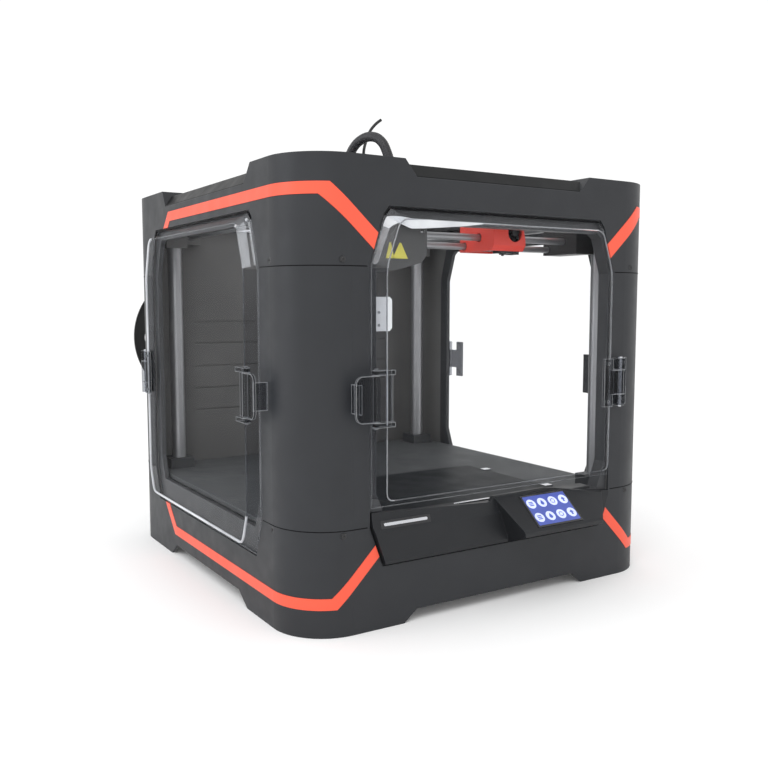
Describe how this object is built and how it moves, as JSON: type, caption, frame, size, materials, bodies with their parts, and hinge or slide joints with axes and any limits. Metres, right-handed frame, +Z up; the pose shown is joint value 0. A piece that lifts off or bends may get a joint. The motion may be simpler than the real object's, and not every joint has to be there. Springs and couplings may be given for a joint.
{
  "type": "fdm printer",
  "caption": "Enclosed desktop filament printer with bulged clear doors, bright corner strips, a lifting heated bed, a belt gantry with print head and a sloping touch screen.",
  "frame": {"origin": "middle of the footprint box, on the table under the case and its feet", "axes": "+Z up, front with the screen towards -Y, +X to the right of someone facing the screen"},
  "size_m": [0.54, 0.643, 0.5876],
  "materials": {
    "body_grey": "fine moulded grain, satin",
    "inner_grey": "satin",
    "coral": "satin, coral",
    "black_plastic": "satin black",
    "clear": "clear moulded sheet",
    "deck": "semi-gloss",
    "bed_black": "black coated, glossy",
    "steel": "ground",
    "zinc": "plain",
    "motor_black": "satin",
    "frame_black": "anodised black",
    "rubber": "dull",
    "screen": "glossy",
    "white": "satin",
    "brass": "plain",
    "board": "semi-gloss",
    "filament": "glossy",
    "belt": "dull",
    "loom": "satin, corrugated"
  },
  "bodies": {
    "case": {"base_housing": "body_grey", "upper_housing": "body_grey", "corner_columns": "body_grey", "back_panel": "inner_grey", "back_liner": "inner_grey", "door_frames": "inner_grey", "accent_strips": "coral", "bottom_plate": "frame_black", "rubber_feet": "rubber", "floor_pan": "inner_grey", "case_screws": "motor_black", "console": "body_grey", "touch_screen": "screen", "name_plate": "zinc", "label_plate": "inner_grey", "door_sensor": "white", "electronics": "board", "power_inlet": "black_plastic", "reel_holder": "black_plastic", "case_leaves": "clear", "hinge_pins": "steel", "guide_rods": "steel", "rod_mounts": "black_plastic", "stepper_motors": "motor_black", "top_frame": "frame_black", "y_belts": "belt", "loom": "loom"},
    "front_door": {"front_pane": "clear", "front_fittings": "clear"},
    "left_door": {"left_pane": "clear", "left_fittings": "clear"},
    "right_door": {"right_pane": "clear", "right_fittings": "clear"},
    "front_latch": {"front_latch": "clear"},
    "left_latch": {"left_latch": "clear"},
    "right_latch": {"right_latch": "clear"},
    "lift": {"lift_table": "deck", "z_bearings": "black_plastic", "heated_bed": "bed_black", "bed_clips": "steel"},
    "lead_screw": {"lead_screw": "steel"},
    "gantry": {"gantry_blocks": "coral", "x_rods": "steel", "cable_rail": "black_plastic", "x_motor": "motor_black", "x_belt": "belt", "head_loom": "loom"},
    "y_shaft": {"y_shaft": "steel"},
    "y_idlers": {"y_idlers": "steel"},
    "x_pulley": {"x_pulley": "steel"},
    "x_idler": {"x_idler": "steel"},
    "head": {"head_carriage": "black_plastic", "head_cover": "coral", "hotend": "brass", "guide_tube": "black_plastic"},
    "head_fan": {"head_fan": "black_plastic"},
    "rear_fan": {"fan_rotor": "black_plastic"},
    "reel": {"reel": "black_plastic", "filament": "filament"},
    "power_switch": {"power_switch": "black_plastic"}
  },
  "joints": [
    {"name": "front_door_swing", "type": "hinge", "parent": "case", "child": "front_door", "pos_m": [0.176, -0.2905, 0.2415], "axis": [0, 0, 1], "range_deg": [0, 110]},
    {"name": "left_door_swing", "type": "hinge", "parent": "case", "child": "left_door", "pos_m": [-0.259, 0.1675, 0.2415], "axis": [0, 0, -1], "range_deg": [0, 110]},
    {"name": "right_door_swing", "type": "hinge", "parent": "case", "child": "right_door", "pos_m": [0.259, 0.1675, 0.2415], "axis": [0, 0, 1], "range_deg": [0, 110]},
    {"name": "front_latch_turn", "type": "hinge", "parent": "front_door", "child": "front_latch", "pos_m": [-0.172, -0.2975, 0.2415], "axis": [0, 0, 1], "range_deg": [0, 35]},
    {"name": "left_latch_turn", "type": "hinge", "parent": "left_door", "child": "left_latch", "pos_m": [-0.266, -0.1965, 0.2415], "axis": [0, 0, -1], "range_deg": [0, 35]},
    {"name": "right_latch_turn", "type": "hinge", "parent": "right_door", "child": "right_latch", "pos_m": [0.266, -0.1965, 0.2415], "axis": [0, 0, 1], "range_deg": [0, 35]},
    {"name": "lift_slide", "type": "slide", "parent": "case", "child": "lift", "axis": [0, 0, 1], "range_m": [0, 0.287]},
    {"name": "screw_spin", "type": "hinge", "parent": "case", "child": "lead_screw", "pos_m": [0, 0.2055, 0.25], "axis": [0, 0, 1], "range_deg": [-20, 13000]},
    {"name": "gantry_slide", "type": "slide", "parent": "case", "child": "gantry", "axis": [0, 1, 0], "range_m": [-0.008, 0.175], "deforming": ["loom"]},
    {"name": "shaft_spin", "type": "hinge", "parent": "case", "child": "y_shaft", "pos_m": [0, 0.1855, 0.44], "axis": [1, 0, 0], "range_deg": [-75, 1300]},
    {"name": "idler_spin", "type": "hinge", "parent": "case", "child": "y_idlers", "pos_m": [0, -0.2185, 0.44], "axis": [1, 0, 0], "range_deg": [-75, 1300]},
    {"name": "head_slide", "type": "slide", "parent": "gantry", "child": "head", "axis": [1, 0, 0], "range_m": [-0.175, 0.075], "deforming": ["head_loom"]},
    {"name": "x_pulley_spin", "type": "hinge", "parent": "gantry", "child": "x_pulley", "pos_m": [-0.175, -0.2015, 0.449], "axis": [0, 0, 1], "range_deg": [-650, 1500]},
    {"name": "x_idler_spin", "type": "hinge", "parent": "gantry", "child": "x_idler", "pos_m": [0.175, -0.2015, 0.449], "axis": [0, 0, 1], "range_deg": [-650, 1500]},
    {"name": "head_fan_spin", "type": "hinge", "parent": "head", "child": "head_fan", "pos_m": [0.058, -0.232, 0.417], "axis": [0, 1, 0], "continuous": true},
    {"name": "rear_fan_spin", "type": "hinge", "parent": "case", "child": "rear_fan", "pos_m": [0.105, 0.2405, 0.3], "axis": [0, 1, 0], "continuous": true},
    {"name": "reel_spin", "type": "hinge", "parent": "case", "child": "reel", "pos_m": [-0.132, 0.2845, 0.282], "axis": [0, 1, 0], "continuous": true},
    {"name": "power_switch_rock", "type": "hinge", "parent": "case", "child": "power_switch", "pos_m": [0.084, 0.248, 0.157], "axis": [1, 0, 0], "range_deg": [-8, 8]}
  ],
  "couplings": [
    {"joint": "screw_spin", "follows": "lift_slide", "rad_per_m": 785.4},
    {"joint": "shaft_spin", "follows": "gantry_slide", "rad_per_m": 128.21},
    {"joint": "idler_spin", "follows": "gantry_slide", "rad_per_m": 128.21},
    {"joint": "x_pulley_spin", "follows": "head_slide", "rad_per_m": -147.06},
    {"joint": "x_idler_spin", "follows": "head_slide", "rad_per_m": -147.06}
  ]
}
